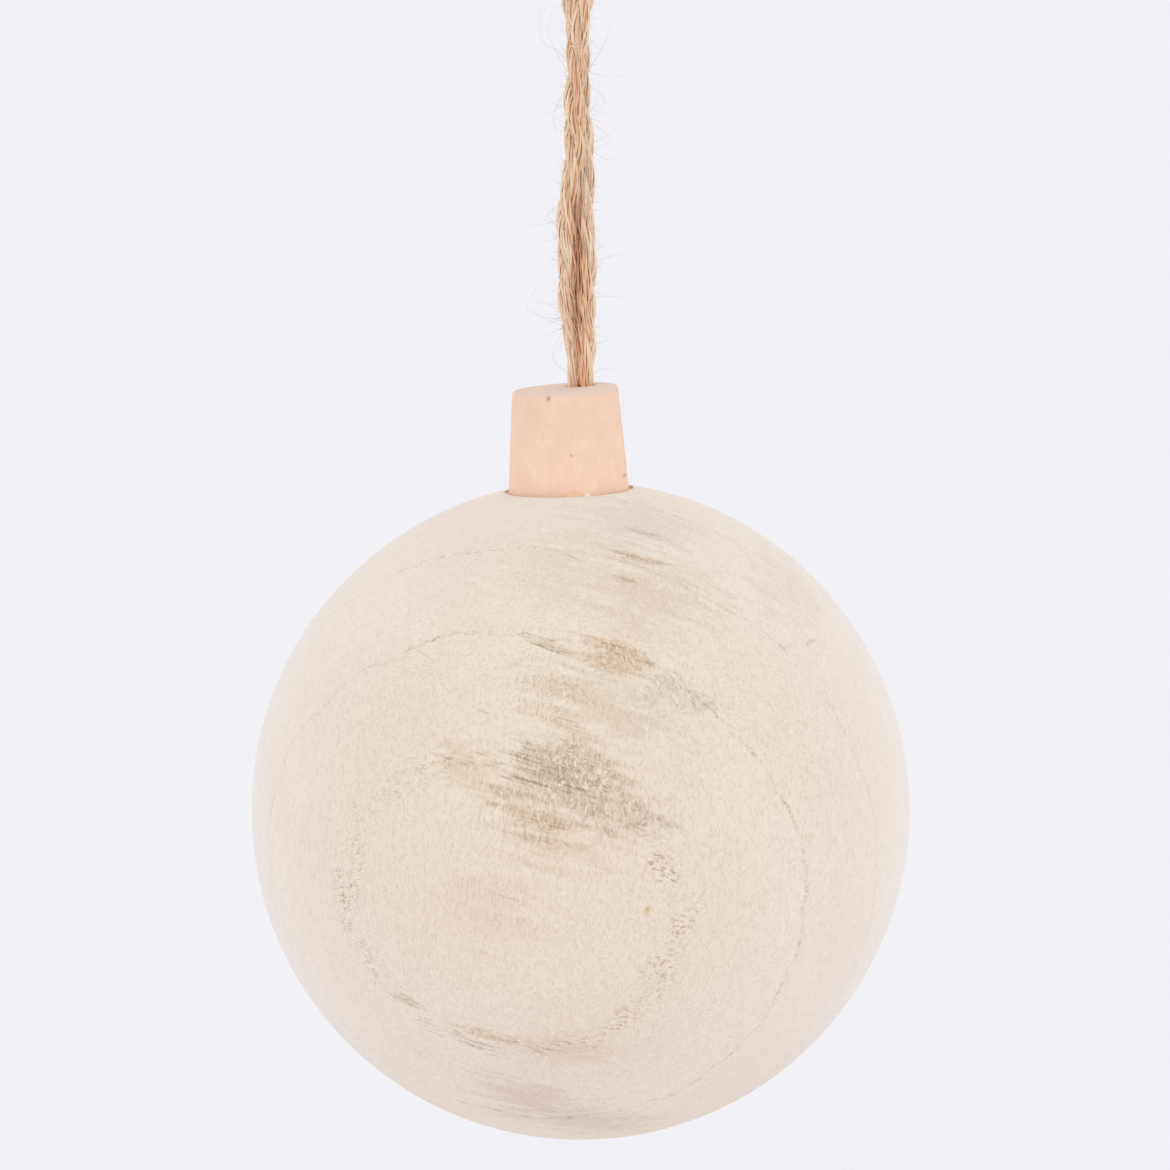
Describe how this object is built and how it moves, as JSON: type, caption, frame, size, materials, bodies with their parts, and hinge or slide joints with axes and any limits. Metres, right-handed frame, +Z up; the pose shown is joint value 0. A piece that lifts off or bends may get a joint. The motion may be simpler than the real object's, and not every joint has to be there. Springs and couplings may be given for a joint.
{
  "type": "wooden ball ornament",
  "caption": "Turned wooden ball with a small tapered wooden cap on its crown, hung from a loop of twisted jute cord.",
  "frame": {"origin": "the hang point: the underside of the cord in the bend of its loop, where a hook or peg holds it", "axes": "+Z up along the plumb cord, -Y towards the side that the picture shows, +X to the right of that view"},
  "size_m": [0.08, 0.08, 0.1667],
  "materials": {
    "ball_wood": "bare sanded pale wood, matt",
    "cap_wood": "bare fine-grained pinkish wood, matt",
    "jute_cord": "natural jute twine, hairy"
  },
  "bodies": {
    "root": {"wooden_ball": "ball_wood", "wooden_cap": "cap_wood", "hanger_cord": "jute_cord", "hanger_knot": "jute_cord"}
  },
  "joints": []
}
